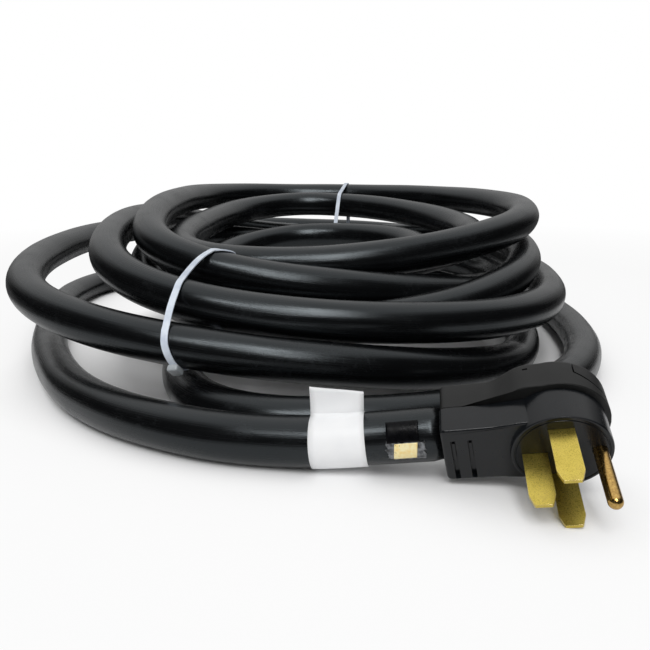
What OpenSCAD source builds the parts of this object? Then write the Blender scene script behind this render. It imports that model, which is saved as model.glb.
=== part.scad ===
// Shore power cord: a moulded four-blade plug with a paddle grip, on a heavy round
// cord that lies wound in a coil, held by two ties, with a stripped inner end.
// Millimetres, +Z up. The origin is on the floor, midway under the plug.
// The plug is drawn in its own frame, X along the cord towards the plug's round head,
// Z out of the face that carries the blades, and is then laid over on its blade tips.

/* [Cord] */
// Diameter of the round jacket
cord_d = 30; // [27:0.5:31]
// Diameter of an insulated power conductor
core_d = 6.4; // [5.4:0.1:7]
// Diameter of the insulated ground conductor
ground_core_d = 5.4; // [4.4:0.1:6]
// Share of a conductor's diameter that is copper
copper_share = 0.62; // [0.5:0.01:0.75]
// Length of the stripped conductors at the inner end of the cord
stripped_len = 62; // [40:1:80]
// Length of bare copper on each stripped conductor
bare_len = 16; // [8:1:25]

/* [Plug body] */
// Radius of the round face that carries the blades
face_r = 25; // [24:0.5:27]
// Depth of the glossy front half, from the parting line to the face
front_h = 20; // [18:0.5:23]
// How far the neck's face lies below the round face
face_step = 2.75; // [1.5:0.25:4]
// Rounding of the neck's front edge
edge_r = 1.5; // [0.75:0.25:2]
// Distance from the middle of the face to the end of the neck
neck_len = 59; // [56:1:66]
// Width of the neck at its end
neck_w = 37; // [36:0.5:39]
// Thickness of the wall behind the round face
face_wall = 4; // [3:0.5:5]
// Radius of the pocket that holds the blade carrier
pocket_r = 22.4; // [22.2:0.1:22.8]
// Radius of the channel that the conductors run through
channel_r = 13; // [12:0.25:14]
// Width of each flex slot in the neck
slot_w = 2.6; // [1.5:0.1:3.5]
// Length of each flex slot
slot_len = 28; // [20:1:30]
// Depth of each flex slot
slot_depth = 3; // [2:0.25:3.25]

/* [Paddle grip] */
// Thickness of the grip, from the parting line to its back
grip_h = 19; // [18:0.5:24]
// Radius of the grip's round head, which overhangs the body
grip_r = 28; // [27.5:0.25:30]
// Width of the grip along the neck
grip_neck_w = 36; // [34:0.5:38]
// Rounding of the grip's back edge
back_r = 2.5; // [1:0.25:4]
// Open line between the body and the grip
parting_gap = 1; // [0.5:0.1:1.5]
// Depth of that line, from the body's side to the grip's land
parting_depth = 1.5; // [1:0.1:2]
// Distance from the middle of the face to the front of the end pad
pad_from = 11; // [10:0.5:14]
// Depth of the end pad at the tip of the grip
pad_depth = 13; // [11:0.5:13.5]
// Open line between the end pad and the grip
pad_gap = 0.7; // [0.3:0.1:1]
// Diameter of the pegs that hold the end pad
peg_d = 4; // [3:0.25:5]

/* [Blades] */
// Width of the three flat blades
blade_w = 12.4; // [11:0.1:12.7]
// Thickness of the flat blades
blade_t = 2; // [1.5:0.1:2.5]
// Length of the flat blades beyond the round face
blade_len = 32; // [28:0.5:34]
// Width of a blade's tip
tip_w = 8.6; // [6:0.1:10]
// Length of the taper at a blade's tip
tip_len = 6; // [4:0.5:8]
// Distance between the middles of the two hot blades
hot_pitch = 32; // [30:0.1:32.5]
// Distance from the middle of the face to the neutral blade
neutral_at = 13.2; // [12:0.1:13.5]
// Distance from the middle of the face to the ground pin
ground_at = 18; // [17:0.1:18.4]
// Diameter of the ground pin
ground_d = 7.2; // [6.5:0.1:7.4]
// Length of the ground pin beyond the round face
ground_len = 35; // [32:0.5:38]

/* [Blade carrier] */
// Thickness of the carrier
carrier_t = 5; // [4:0.25:6]
// Clearance round the carrier and along each blade
fit_gap = 0.15; // [0.05:0.05:0.3]
// Outer diameter of a crimp barrel
barrel_d = 6; // [5.6:0.1:6.6]
// Length of a crimp barrel
barrel_len = 8; // [6:0.5:9]
// Thickness of the tang behind a blade
tang_t = 1.6; // [1.2:0.1:2]

/* [Ties and labels] */
// Width of the strap of a tie
strap_w = 4.8; // [3.6:0.1:5.5]
// Thickness of the strap of a tie
strap_t = 1.1; // [0.8:0.05:1.2]
// Clearance between a strap and the cord
strap_gap = 0.45; // [0.3:0.05:0.6]
// Length of a tie's square head
head_len = 9; // [7:0.5:11]
// Thickness of the wrap label
label_t = 0.4; // [0.2:0.05:0.6]
// Height of the flag that stands up from the wrap label
flag_h = 17; // [10:1:22]
// Length of the sticker beside the plug
sticker_len = 23; // [16:1:26]
// Length of the foil patch on the sticker
foil_len = 15; // [8:1:15]
// Clearance between the cord and what is stuck to it
stick_gap = 0.15; // [0.1:0.05:0.3]

/* [Hidden] */

$fn = 64;
eps = 0.01;
cord_r = cord_d / 2;

// Place of the plug's own frame: tilt, rise and yaw, then the middle of its round face.
plug_turn = [113, -9.6, -11.5];
plug_at = [13.95, -8.6, 28.4];

// Heights in the plug's frame, down from the round face.
parting_z = -front_h;
grip_z = parting_z - parting_gap;
back_z = grip_z - grip_h;
cord_z = parting_z - parting_gap / 2;
carrier_z = -face_wall - carrier_t;
barrel_z = carrier_z - barrel_d / 2 - 1.5;
slot_x = [-53, -44.3];
slot_y = -3;
bar_w = 1.4;
bar_len = 12;
mouth_r = 3;

// Radius of the cord that the routes below are laid out for: another one keeps the gaps
// at the floor, and lifts or lowers every turn with it.
laid_r = 15;

// Route of the lead, on the floor from the plug round to the coil, after its straight start.
lead_points = [[-120, 34.5, 16], [-175, 47.5, 15], [-230, 76.5, 15], [-275, 117.5, 15],
               [-310, 167.5, 15], [-345, 236.5, 15], [-375, 314.5, 15], [-403, 404.5, 15],
               [-419, 494.5, 15], [-410, 579.5, 15], [-360, 644.5, 15], [-280, 682.5, 15],
               [-195, 696.5, 15]];

// The coil's turns, each by the reach from coil_at and the height of the cord's axis in
// front, at the left, at the back and at the right, and how square its left and right ends
// are. The cord lies on the floor wherever a height would take it lower.
coil_at = [-120, 369.5];
coil_turns = [[335, 15, 305, 15, 330, 15, 265, 15, 0.05, 0.05],
              [300, 15, 108, 15, 212, 31, 205, 2, 0, 0],
              [264, 42, 256, 89, 285, 81, 230, 63, 0.05, 0.04],
              [241, 66, 179, 116, 228, 77, 211, 92, 0.05, 0.03],
              [210, 54, 156, 92, 162, 73, 195, 58, 0.03, 0.02],
              [184, 80, 149, 129, 232, 132, 214, 126, 0.04, 0.01],
              [152, 91, 121, 105, 198, 122, 164, 104, 0.02, 0],
              [119, 80, 111, 71, 116, 88, 117, 83, 0, 0],
              [111, 45, 75, 15, 90, 15, 90, 15, 0, 0]];
coil_from = 0.5;
coil_to = 8.32;
rings_per_turn = 24;
coil_sides = 6;
lead_sides = 12;
lead_steps = 2;

// Upright plane of each tie: a point in plan, the way the strands run there, and the
// turns within which each held strand crosses it.
front_tie = [[-206, 140], 172, [[4.95, 5.2], [2.95, 3.2], [1.95, 2.2], [3.95, 4.2]]];
rear_tie = [[-83, 565], -13, [[5.4, 5.7], [6.4, 6.7], [4.4, 4.7], [3.4, 3.7]]];
front_head_angle = 230;
rear_head_angle = -25;

// Stretches of the lead's route that carry the label and the sticker.
label_from = 1.16;
label_to = 1.88;
sticker_start = 8;
sticker_arc = [-8, 78];
foil_arc = [-4, 32];

// ---- vectors and routes ----

function unit(v) = v / norm(v);
function turn_x(v, a) = [v.x, v.y * cos(a) - v.z * sin(a), v.y * sin(a) + v.z * cos(a)];
function turn_y(v, a) = [v.x * cos(a) + v.z * sin(a), v.y, v.z * cos(a) - v.x * sin(a)];
function turn_z(v, a) = [v.x * cos(a) - v.y * sin(a), v.x * sin(a) + v.y * cos(a), v.z];
function turned(v) = turn_z(turn_y(turn_x(v, plug_turn.x), plug_turn.y), plug_turn.z);
function from_plug(v) = plug_at + turned(v);

// Smooth value at place t in a list.
function clamp(i, n) = max(0, min(n - 1, i));
function smooth(list, t) =
    let (i = floor(t), f = t - i, n = len(list),
         a = list[clamp(i - 1, n)], b = list[clamp(i, n)],
         c = list[clamp(i + 1, n)], d = list[clamp(i + 2, n)])
    (2 * pow(f, 3) - 3 * f * f + 1) * b + (pow(f, 3) - 2 * f * f + f) * (c - a) / 2
    + (3 * f * f - 2 * pow(f, 3)) * c + (pow(f, 3) - f * f) * (d - b) / 2;

side_reach = [for (r = coil_turns) each [r[2], r[6]]];
end_reach = [for (r = coil_turns) each [r[0], r[4]]];
heights = [for (r = coil_turns) each [r[1], r[3], r[5], r[7]]];
squareness = [for (r = coil_turns) each [r[8], r[9]]];

// Point of the cord's axis after so many turns of the coil.
function on_coil(turns) =
    let (t = 360 * turns,
         x = smooth(side_reach, 2 * turns - 0.5),
         y = smooth(end_reach, 2 * turns),
         k = smooth(squareness, 2 * turns - 0.5))
    [coil_at.x - x * (sin(t) + k * sin(3 * t)) / (1 - k),
     coil_at.y - y * (cos(t) - k * cos(3 * t)) / (1 - k),
     max(cord_r, smooth(heights, 4 * turns) + cord_r - laid_r)];
function coil_heading(turns) = unit(on_coil(turns + 0.002) - on_coil(turns - 0.002));

ring_count = round((coil_to - coil_from) * rings_per_turn);
coil_start = on_coil(coil_from) - cord_d * coil_heading(coil_from);
coil_end = on_coil(coil_to) + cord_d * coil_heading(coil_to);
coil_path = [coil_start,
             for (i = [0:ring_count]) on_coil(coil_from + (coil_to - coil_from) * i / ring_count),
             coil_end];

cord_exit = from_plug([-neck_len, 0, cord_z]);
cord_dir = turned([-1, 0, 0]);
lead_hold = [cord_exit, cord_exit + cord_d * cord_dir, each lead_points, coil_start];
function on_lead(t) =
    let (p = smooth(lead_hold, t)) [p.x, p.y, max(cord_r, p.z + (t < 2 ? 0 : cord_r - laid_r))];
lead_path = [cord_exit, for (t = [1:1 / lead_steps:len(lead_hold) - 1]) on_lead(t)];

// Least distance from point p to the line from a to b.
function to_line(p, a, b) =
    let (d = b - a, s = max(0, min(1, (p - a) * d / (d * d)))) norm(p - a - s * d);

// Least gap between the coil's own turns, from points on the axis of its tube.
apart = round(rings_per_turn / 3);
coil_gap = min([for (i = [0:ring_count]) for (q = [0, 0.25, 0.5, 0.75])
                let (p = coil_path[i] + q * (coil_path[i + 1] - coil_path[i]))
                for (j = [i + apart:1:ring_count]) to_line(p, coil_path[j], coil_path[j + 1])])
           - cord_d;
route_len = function (path) let (steps = [for (i = [1:len(path) - 1]) norm(path[i] - path[i - 1])])
            steps * [for (s = steps) 1];
echo(least_gap_between_the_coils_turns_mm = coil_gap);
echo(length_of_cord_mm = route_len(lead_path) + route_len(coil_path));

// ---- tubes and lofts ----

// Corner points of rings set square on a path, with a corner of each at its lowest point.
function ring_points(path, r, sides, first, last) =
    [for (i = [0:len(path) - 1])
     let (t = i == 0 ? first : i == len(path) - 1 ? last
              : unit(unit(path[i + 1] - path[i]) + unit(path[i] - path[i - 1])),
          side = unit(cross(t, [0, 0, 1])),
          up = cross(side, t))
     for (j = [0:sides - 1])
     let (a = -90 - 360 * j / sides) path[i] + r * (cos(a) * side + sin(a) * up)];

// Triangles that join rings of equal counts, and those that close both ends of a tube.
function skin_faces(rings, n) =
    [for (i = [0:rings - 2]) for (j = [0:n - 1])
     let (a = i * n + j, b = i * n + (j + 1) % n) each [[a, b + n, b], [a, a + n, b + n]]];
function fan_faces(rings, n) =
    let (k = (rings - 1) * n)
    [for (j = [1:n - 2]) each [[0, j, j + 1], [k, k + j + 1, k + j]]];

module tube(path, r, sides, first, last)
    let (rings = len(path))
    polyhedron(ring_points(path, r, sides, first, last),
               [each skin_faces(rings, sides), each fan_faces(rings, sides)]);

// A solid through flat outlines of equal counts, given as [z, outline], from the top down.
module loft(layers)
    let (rings = len(layers), n = len(layers[0][1]))
    polyhedron([for (l = layers) for (p = l[1]) [p.x, p.y, l[0]]],
               [each skin_faces(rings, n), [for (j = [0:n - 1]) j],
                [for (j = [n - 1:-1:0]) (rings - 1) * n + j]]);

function arc(c, r, from, to, steps) =
    [for (i = [0:steps]) let (a = from + (to - from) * i / steps) c + r * [cos(a), sin(a)]];
function mirrored(half) = [each half, for (i = [len(half) - 1:-1:0]) [half[i].x, -half[i].y]];
function ease(t) = (1 - cos(180 * max(0, min(1, t)))) / 2;

// ---- plug ----

module in_plug_pose()
    translate(plug_at) rotate(plug_turn) children();

// Half of the neck's outline, from its end to under the round face.
function neck_half(inset) =
    let (w = neck_w / 2, head_y = 0.81 * face_r)
    [each arc([mouth_r - neck_len, w - mouth_r], mouth_r - inset, 180, 90, 4),
     for (i = [0:6]) let (x = -36 + i * 3.5)
         [x, w + (head_y - w) * ease((x + 36) / 21) - inset],
     [0, head_y - inset]];

// Half of the grip's outline, which swells from the neck to its round head.
function grip_half(inset) =
    let (w = grip_neck_w / 2, shoulder = grip_r - 0.6, x0 = -34, x1 = -12)
    [each arc([mouth_r + 0.6 - neck_len, w - mouth_r], mouth_r - inset, 180, 90, 4),
     for (i = [0:8]) let (t = i / 8)
         [x0 + (x1 - x0) * t, w + (shoulder - w) * ease(t) - inset],
     each arc([0, 0], grip_r - inset, 101, 5, 13)];

module round_face()
    rotate_extrude()
        polygon([[0, parting_z], [face_r + 0.3, parting_z], [face_r, -1.2], [face_r - 0.3, -0.4],
                 [face_r - 1, 0], [face_r - 1.9, 0], [face_r - 2.1, -0.4], [face_r - 2.5, -0.4],
                 [face_r - 2.7, 0], [0, 0]]);

module neck_block()
    loft([[-face_step, mirrored(neck_half(edge_r))],
          [-face_step - edge_r * 0.134, mirrored(neck_half(edge_r / 2))],
          [-face_step - edge_r * 0.5, mirrored(neck_half(edge_r * 0.134))],
          [-face_step - edge_r, mirrored(neck_half(0))],
          [parting_z, mirrored(neck_half(0))]]);

module cord_channel(reach)
    translate([-neck_len - 1, 0, cord_z]) rotate([0, 90, 0]) cylinder(r = channel_r, h = reach + 1);

module flat_blade_hole(x, y)
    translate([x - blade_w / 2 - fit_gap, y - blade_t / 2 - fit_gap, carrier_z - 1])
        cube([blade_w + 2 * fit_gap, blade_t + 2 * fit_gap, face_wall + carrier_t + 2]);

module blade_holes() {
    for (y = [-1, 1])
        flat_blade_hole(0, y * hot_pitch / 2);
    flat_blade_hole(-neutral_at, 0);
    translate([ground_at, 0, carrier_z - 1])
        cylinder(r = ground_d / 2 + fit_gap, h = face_wall + carrier_t + 2);
}

module flex_slot(x)
    difference() {
        translate([x - slot_w / 2, slot_y - slot_len / 2, -face_step - slot_depth])
            cube([slot_w, slot_len, slot_depth + 1]);
        translate([x - bar_w / 2, slot_y + slot_len / 2 - bar_len - 3, -face_step - slot_depth - 1])
            cube([bar_w, bar_len, slot_depth - 0.2]);
    }

module plug_body()
    color("#2c3236") in_plug_pose() difference() {
        union() {
            neck_block();
            round_face();
        }
        translate([0, 0, parting_z - 1]) cylinder(r = pocket_r, h = front_h - face_wall + 1);
        cord_channel(neck_len);
        blade_holes();
        for (x = slot_x) flex_slot(x);
    }

// Side view of the end pad, from its front groove round the tip of the grip.
function pad_side(g) =
    let (z0 = back_z, top = back_z + pad_depth - g, reach = grip_r + 1)
    [[pad_from + g, z0 - 1], [pad_from + g, z0 + 9 - g], [pad_from + 5 + g, z0 + 11 - g],
     [pad_from + 11, top], [reach, top], [reach, z0 - 1]];

// The pad's back, which rounds forward towards the tip of the grip.
pad_back = [[pad_from, back_z - 1],
            for (i = [0:8]) let (a = 90 * i / 8)
                [pad_from + 1.5 + (grip_r - pad_from) * sin(a), back_z + 6.5 * (1 - cos(a))],
            [grip_r + 3, back_z - 1]];

module across(side_view)
    rotate([90, 0, 0]) linear_extrude(2 * grip_r + 6, center = true) polygon(side_view);

module grip_shape()
    loft([[grip_z, mirrored(grip_half(0.5))],
          [grip_z - 0.5, mirrored(grip_half(0))],
          [back_z + back_r, mirrored(grip_half(0))],
          [back_z + back_r * 0.5, mirrored(grip_half(back_r * 0.134))],
          [back_z + back_r * 0.134, mirrored(grip_half(back_r / 2))],
          [back_z, mirrored(grip_half(back_r))]]);

module pad_pegs(gap)
    for (y = [-1, 1])
        translate([pad_from - 4 + gap, y * 12, back_z + 5]) rotate([0, 90, 0])
            cylinder(d = peg_d + 2 * fit_gap - 2 * gap, h = 8);

// The land closes the parting line behind the body's rim.
module grip_land()
    intersection() {
        loft([[parting_z, mirrored(neck_half(parting_depth))],
              [grip_z - 0.6, mirrored(neck_half(parting_depth))]]);
        translate([-neck_len, -neck_w, grip_z - 0.6]) cube([neck_len - 12, 2 * neck_w, 3]);
    }

module rear_grip()
    color("#3b3c3d") in_plug_pose() difference() {
        union() {
            grip_shape();
            grip_land();
            translate([0, 0, grip_z - 0.6]) cylinder(r = face_r - parting_depth, h = parting_gap + 0.6);
        }
        cord_channel(neck_len - 4);
        translate([0, 0, grip_z - 4]) cylinder(r = pocket_r - 1.4, h = 6);
        across(pad_side(0));
        pad_pegs(0);
        translate([-12.5, grip_r - 1.2, back_z + 5]) cube([2.6, 3, 1.2], center = true);
    }

module grip_end_pad()
    color("#2b2b2c") in_plug_pose() {
        difference() {
            intersection() {
                grip_shape();
                across(pad_side(pad_gap));
            }
            across(pad_back);
        }
        pad_pegs(fit_gap);
    }

module blade_carrier()
    color("#c9c4b4") in_plug_pose() difference() {
        translate([0, 0, carrier_z]) cylinder(r = pocket_r - 2 * fit_gap, h = carrier_t);
        blade_holes();
    }

// A crimp barrel that points back along the cord, with its bore for the copper.
module barrel(d)
    rotate([0, -90, 0]) difference() {
        cylinder(d = d, h = barrel_len);
        translate([0, 0, tang_t]) cylinder(d = core_d * copper_share + 0.2, h = barrel_len);
    }

barrel_x = barrel_len / 2;
shank_r = ground_d / 2 - 0.2;

module flat_blade(x, y)
    in_plug_pose() translate([x, y, 0]) {
        rotate([90, 0, 0]) linear_extrude(blade_t, center = true)
            polygon([[-blade_w / 2, carrier_z], [blade_w / 2, carrier_z],
                     [blade_w / 2, blade_len - tip_len], [tip_w / 2, blade_len - 0.5],
                     [tip_w / 2 - 0.5, blade_len], [0.5 - tip_w / 2, blade_len],
                     [-tip_w / 2, blade_len - 0.5], [-blade_w / 2, blade_len - tip_len]]);
        translate([barrel_x - tang_t, -blade_t / 2, barrel_z])
            cube([tang_t, blade_t, carrier_z - barrel_z + eps]);
        translate([barrel_x, 0, barrel_z]) barrel(barrel_d);
    }

module hot_blade_upper() color("#c9b455") flat_blade(0, hot_pitch / 2);
module hot_blade_lower() color("#c9b455") flat_blade(0, -hot_pitch / 2);
module neutral_blade() color("#c9b455") flat_blade(-neutral_at, 0);

module ground_pin()
    color("#a08040") in_plug_pose() translate([ground_at, 0, 0]) {
        rotate_extrude()
            polygon([[0, carrier_z], [shank_r, carrier_z], [shank_r, 0], [ground_d / 2, 0],
                 [ground_d / 2, ground_len - ground_d / 2],
                     for (i = [1:8]) let (a = 90 * i / 8)
                         [ground_d / 2 * cos(a), ground_len - ground_d / 2 * (1 - sin(a))]]);
        translate([-0.5 - tang_t, -1, barrel_z]) cube([tang_t, 2, carrier_z - barrel_z + eps]);
        translate([-0.5, 0, barrel_z]) barrel(ground_core_d + 0.4);
    }

// A conductor from the end of the cord's jacket to its barrel, with its bare copper tip.
module plug_lead(points, end, d) {
    path = [for (p = points) from_plug(p)];
    tube([each path, from_plug(end)], d / 2, 8, -cord_dir, -cord_dir);
    in_plug_pose() translate(end - [1, 0, 0]) rotate([0, 90, 0])
        cylinder(d = d * copper_share - 0.2, h = barrel_len - tang_t);
}

lay_r = 5.8;
function lead_end(x, y) = [x + barrel_x - barrel_len, y, barrel_z];
function hot_points(s) = [[-neck_len, s * lay_r, cord_z], [-44, s * lay_r, cord_z],
                          [-34, s * 6, cord_z + 1.4], [-24, s * 6.6, cord_z + 3],
                          [-17, s * 9, barrel_z - 1.5], [-10, s * 14.2, barrel_z],
                          [-6.5, s * 15.8, barrel_z]];

module hot_lead_upper()
    color("#141414") plug_lead(hot_points(1), lead_end(0, hot_pitch / 2), core_d);
module hot_lead_lower()
    color("#a01c18") plug_lead(hot_points(-1), lead_end(0, -hot_pitch / 2), core_d);
module neutral_lead()
    color("#e6e4dc") plug_lead([[-neck_len, 0, cord_z + lay_r], [-44, 0, cord_z + lay_r],
                                [-32, 0, barrel_z - 0.8], [-24, 0, barrel_z]],
                               lead_end(-neutral_at, 0), core_d);
module ground_lead()
    color("#1f6b3a") plug_lead([[-neck_len, 0, cord_z - lay_r], [-44, 0, cord_z - lay_r],
                                [-28, 0, cord_z - lay_r], [-14, 0, cord_z - lay_r + 0.6],
                                [-3, 0, cord_z - 1.5], [4, 0, barrel_z - 1]],
                               [ground_at - 0.5 - barrel_len, 0, barrel_z], ground_core_d);

// ---- cord ----

module cord_lead()
    color("#17181a") tube(lead_path, cord_r, lead_sides, cord_dir, coil_heading(coil_from));

module cord_coil()
    color("#17181a") tube(coil_path, cord_r, coil_sides, coil_heading(coil_from), coil_heading(coil_to));

// ---- ties: a strap round the strands that cross an upright plane ----

function way(tie) = [cos(tie[1]), sin(tie[1]), 0];
function past(tie, turns) = (on_coil(turns) - [tie[0].x, tie[0].y, 0]) * way(tie);

// Turns at which a strand crosses a tie's plane, halving the span "from" to "to".
function crossing(tie, from, to, left = 16) =
    let (mid = (from + to) / 2)
    left == 0 ? mid
    : past(tie, mid) > 0 ? crossing(tie, from, mid, left - 1) : crossing(tie, mid, to, left - 1);

// Places of the held strands, across and up in the plane, and how far each is from square to it.
function held(tie) =
    [for (span = tie[2])
     let (u = crossing(tie, span[0], span[1]), p = on_coil(u) - [tie[0].x, tie[0].y, 0])
         [p * [sin(tie[1]), -cos(tie[1]), 0], p.z, abs(coil_heading(u) * way(tie))]];

module tie_plane(tie)
    translate([tie[0].x, tie[0].y, 0]) rotate([90, 0, tie[1] - 90]) children();

// Radius in the plane that clears a held strand over the whole width of the strap.
function hold_r(p) = cord_r + strap_gap + strap_w / 2 * sqrt(1 / (p[2] * p[2]) - 1);

module round_strands(tie, extra)
    hull() for (p = held(tie))
        translate([p[0], p[1]]) scale([1 / p[2], 1]) circle(hold_r(p) + extra);

module tie_strap(tie)
    tie_plane(tie) linear_extrude(strap_w, center = true) difference() {
        round_strands(tie, strap_t);
        round_strands(tie, 0);
    }

module tie_head(tie, strand, angle)
    let (p = held(tie)[strand])
    tie_plane(tie) translate([p[0], p[1], 0]) rotate(angle)
        translate([(hold_r(p) + strap_t) / p[2] + 0.1, -head_len / 2, -strap_w * 0.8])
            cube([strap_w, head_len, strap_w * 1.6]);

module front_tie_strap() color("#dfe6ee") tie_strap(front_tie);
module front_tie_head() color("#dfe6ee") tie_head(front_tie, 2, front_head_angle);
module rear_tie_strap() color("#dfe6ee") tie_strap(rear_tie);
module rear_tie_head() color("#dfe6ee") tie_head(rear_tie, 2, rear_head_angle);

// ---- label and sticker ----

// Point on the lead's tube, which runs straight from ring to ring.
function on_tube(t) =
    let (i = floor((t - 1) * lead_steps) + 1, f = (t - 1) * lead_steps + 1 - i)
    lead_path[i] + f * (lead_path[i + 1] - lead_path[i]);

// A sleeve from place "from" to place "to", with one of the lead's own rings between them.
module sleeve(from, to, r_in, r_out) {
    ends = [on_tube(from), lead_path[lead_steps / 2 + 1], on_tube(to)];
    a = unit(ends[1] - ends[0]);
    b = unit(ends[2] - ends[1]);
    difference() {
        tube(ends, r_out, lead_sides, a, b);
        tube([ends[0] - a, ends[1], ends[2] + b], r_in, lead_sides, a, b);
    }
}

module wrap_label() {
    r = cord_r + stick_gap;
    color("white") {
        sleeve(label_from, label_to, r, r + label_t);
        p = on_tube(label_from);
        q = on_tube(label_to);
        lean = [0, 3.5, 0];
        top = [0, 0, r + label_t / 2];
        wide = [0, label_t, 0];
        hull() for (e = [p, q]) for (w = [0, 1])
            translate(e + top + w * wide) {
                cube([eps, eps, eps]);
                translate(lean + [3, 0, flag_h]) cube([eps, eps, eps]);
            }
    }
}

// A thin patch bent round the straight start of the cord, from one angle to another.
module bent_patch(r, t, start, length, arc_span)
    in_plug_pose() translate([-neck_len - start, 0, cord_z]) rotate([0, -90, 0])
        linear_extrude(length)
            polygon([each arc([0, 0], r, arc_span[0], arc_span[1], 8),
                     each arc([0, 0], r + t, arc_span[1], arc_span[0], 8)]);

sticker_t = 0.3;
foil_gap = 0.08;
module sticker_base()
    color("#0b0b0d") bent_patch(cord_r + stick_gap, sticker_t, sticker_start, sticker_len, sticker_arc);
module foil_patch()
    color("#e8cf74")
        bent_patch(cord_r + stick_gap + sticker_t + foil_gap, sticker_t / 2, sticker_start + 3,
                   foil_len, foil_arc);

// ---- stripped inner end ----

end_frame = let (t = coil_heading(coil_to), side = unit(cross(t, [0, 0, 1])))
    [t, side, cross(side, t)];
function past_end(along, across, up) =
    coil_end + along * end_frame[0] + across * end_frame[1] + up * end_frame[2];

// Four conductors lie square in the jacket and spread a little past its end.
module end_path(across, up, d, from, to) {
    spread = 1.35;
    pts = [for (i = [0:5]) let (s = from + (to - from) * i / 5,
                                w = 1 + (spread - 1) * ease(s / stripped_len))
           past_end(s, across * w, up + (up > 0 ? 1 : -1) * 0.2 * (w - 1))];
    tube(pts, d / 2, 8, end_frame[0], end_frame[0]);
}

module stripped(across, up, d)
    end_path(across, up, d, 0, stripped_len - bare_len);
module bare_copper(across, up, d)
    end_path(across, up, d * copper_share, stripped_len - bare_len, stripped_len);

pair = 4.4;
module stripped_hot_black() color("#141414") stripped(-pair, pair, core_d);
module stripped_hot_red() color("#a01c18") stripped(pair, pair, core_d);
module stripped_neutral_white() color("#e6e4dc") stripped(-pair, -pair, core_d);
module stripped_ground_green() color("#1f6b3a") stripped(pair, -pair, ground_core_d);
module copper_hot_black() color("#b8693a") bare_copper(-pair, pair, core_d);
module copper_hot_red() color("#b8693a") bare_copper(pair, pair, core_d);
module copper_neutral() color("#b8693a") bare_copper(-pair, -pair, core_d);
module copper_ground() color("#b8693a") bare_copper(pair, -pair, ground_core_d);

plug_body();
rear_grip();
grip_end_pad();
blade_carrier();
hot_blade_upper();
hot_blade_lower();
neutral_blade();
ground_pin();
hot_lead_upper();
hot_lead_lower();
neutral_lead();
ground_lead();
cord_lead();
cord_coil();
front_tie_strap();
front_tie_head();
rear_tie_strap();
rear_tie_head();
wrap_label();
sticker_base();
foil_patch();
stripped_hot_black();
stripped_hot_red();
stripped_neutral_white();
stripped_ground_green();
copper_hot_black();
copper_hot_red();
copper_neutral();
copper_ground();
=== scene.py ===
import math

import bmesh
import bpy
import numpy as np
from mathutils import Euler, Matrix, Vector, noise


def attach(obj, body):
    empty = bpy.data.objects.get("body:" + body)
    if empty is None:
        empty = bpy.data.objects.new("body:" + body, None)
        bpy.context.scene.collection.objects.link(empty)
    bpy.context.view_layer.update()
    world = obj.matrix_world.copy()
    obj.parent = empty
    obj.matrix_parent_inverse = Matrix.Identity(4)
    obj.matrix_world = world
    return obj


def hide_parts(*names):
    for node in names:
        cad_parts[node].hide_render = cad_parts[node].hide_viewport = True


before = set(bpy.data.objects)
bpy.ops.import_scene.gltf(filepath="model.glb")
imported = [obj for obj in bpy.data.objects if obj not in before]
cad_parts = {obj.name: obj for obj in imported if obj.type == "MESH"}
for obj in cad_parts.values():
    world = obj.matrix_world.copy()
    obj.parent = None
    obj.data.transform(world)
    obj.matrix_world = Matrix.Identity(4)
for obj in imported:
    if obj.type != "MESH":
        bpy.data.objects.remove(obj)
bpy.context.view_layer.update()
scene = bpy.context.scene
print("frame loaded:", len(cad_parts), "nodes")

mm = 0.001

# Camera: a little above the coil, looking slightly down on the plug.
cameraSetup = {
    "place": (-0.10505, -0.31058, 0.167),
    "pitchDown": 13.5,
    "lens": 36.0,
    "sensor": 36.0,
    "clip": (0.01, 50.0),
}


def makeCamera():
    data = bpy.data.cameras.new("camera")
    data.lens = cameraSetup["lens"]
    data.sensor_width = cameraSetup["sensor"]
    data.clip_start, data.clip_end = cameraSetup["clip"]
    camera = bpy.data.objects.new("camera", data)
    camera.location = cameraSetup["place"]
    camera.rotation_euler = (math.radians(90 - cameraSetup["pitchDown"]), 0, 0)
    scene.collection.objects.link(camera)
    scene.camera = camera


makeCamera()
print("camera made")


# Shader expressions: a wrapped socket adds a Math node for each operator.
class Value:
    def __init__(self, shader, socket):
        self.shader = shader
        self.socket = socket

    def math(self, operation, other, swapped=False):
        first, second = (other, self) if swapped else (self, other)
        return self.shader.add("ShaderNodeMath", {"operation": operation}, {0: first, 1: second})

    def __add__(self, other):
        return self.math("ADD", other)

    def __sub__(self, other):
        return self.math("SUBTRACT", other)

    def __mul__(self, other):
        return self.math("MULTIPLY", other)

    def __radd__(self, other):
        return self.math("ADD", other, True)

    def __rsub__(self, other):
        return self.math("SUBTRACT", other, True)

    def __rmul__(self, other):
        return self.math("MULTIPLY", other, True)


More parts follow.
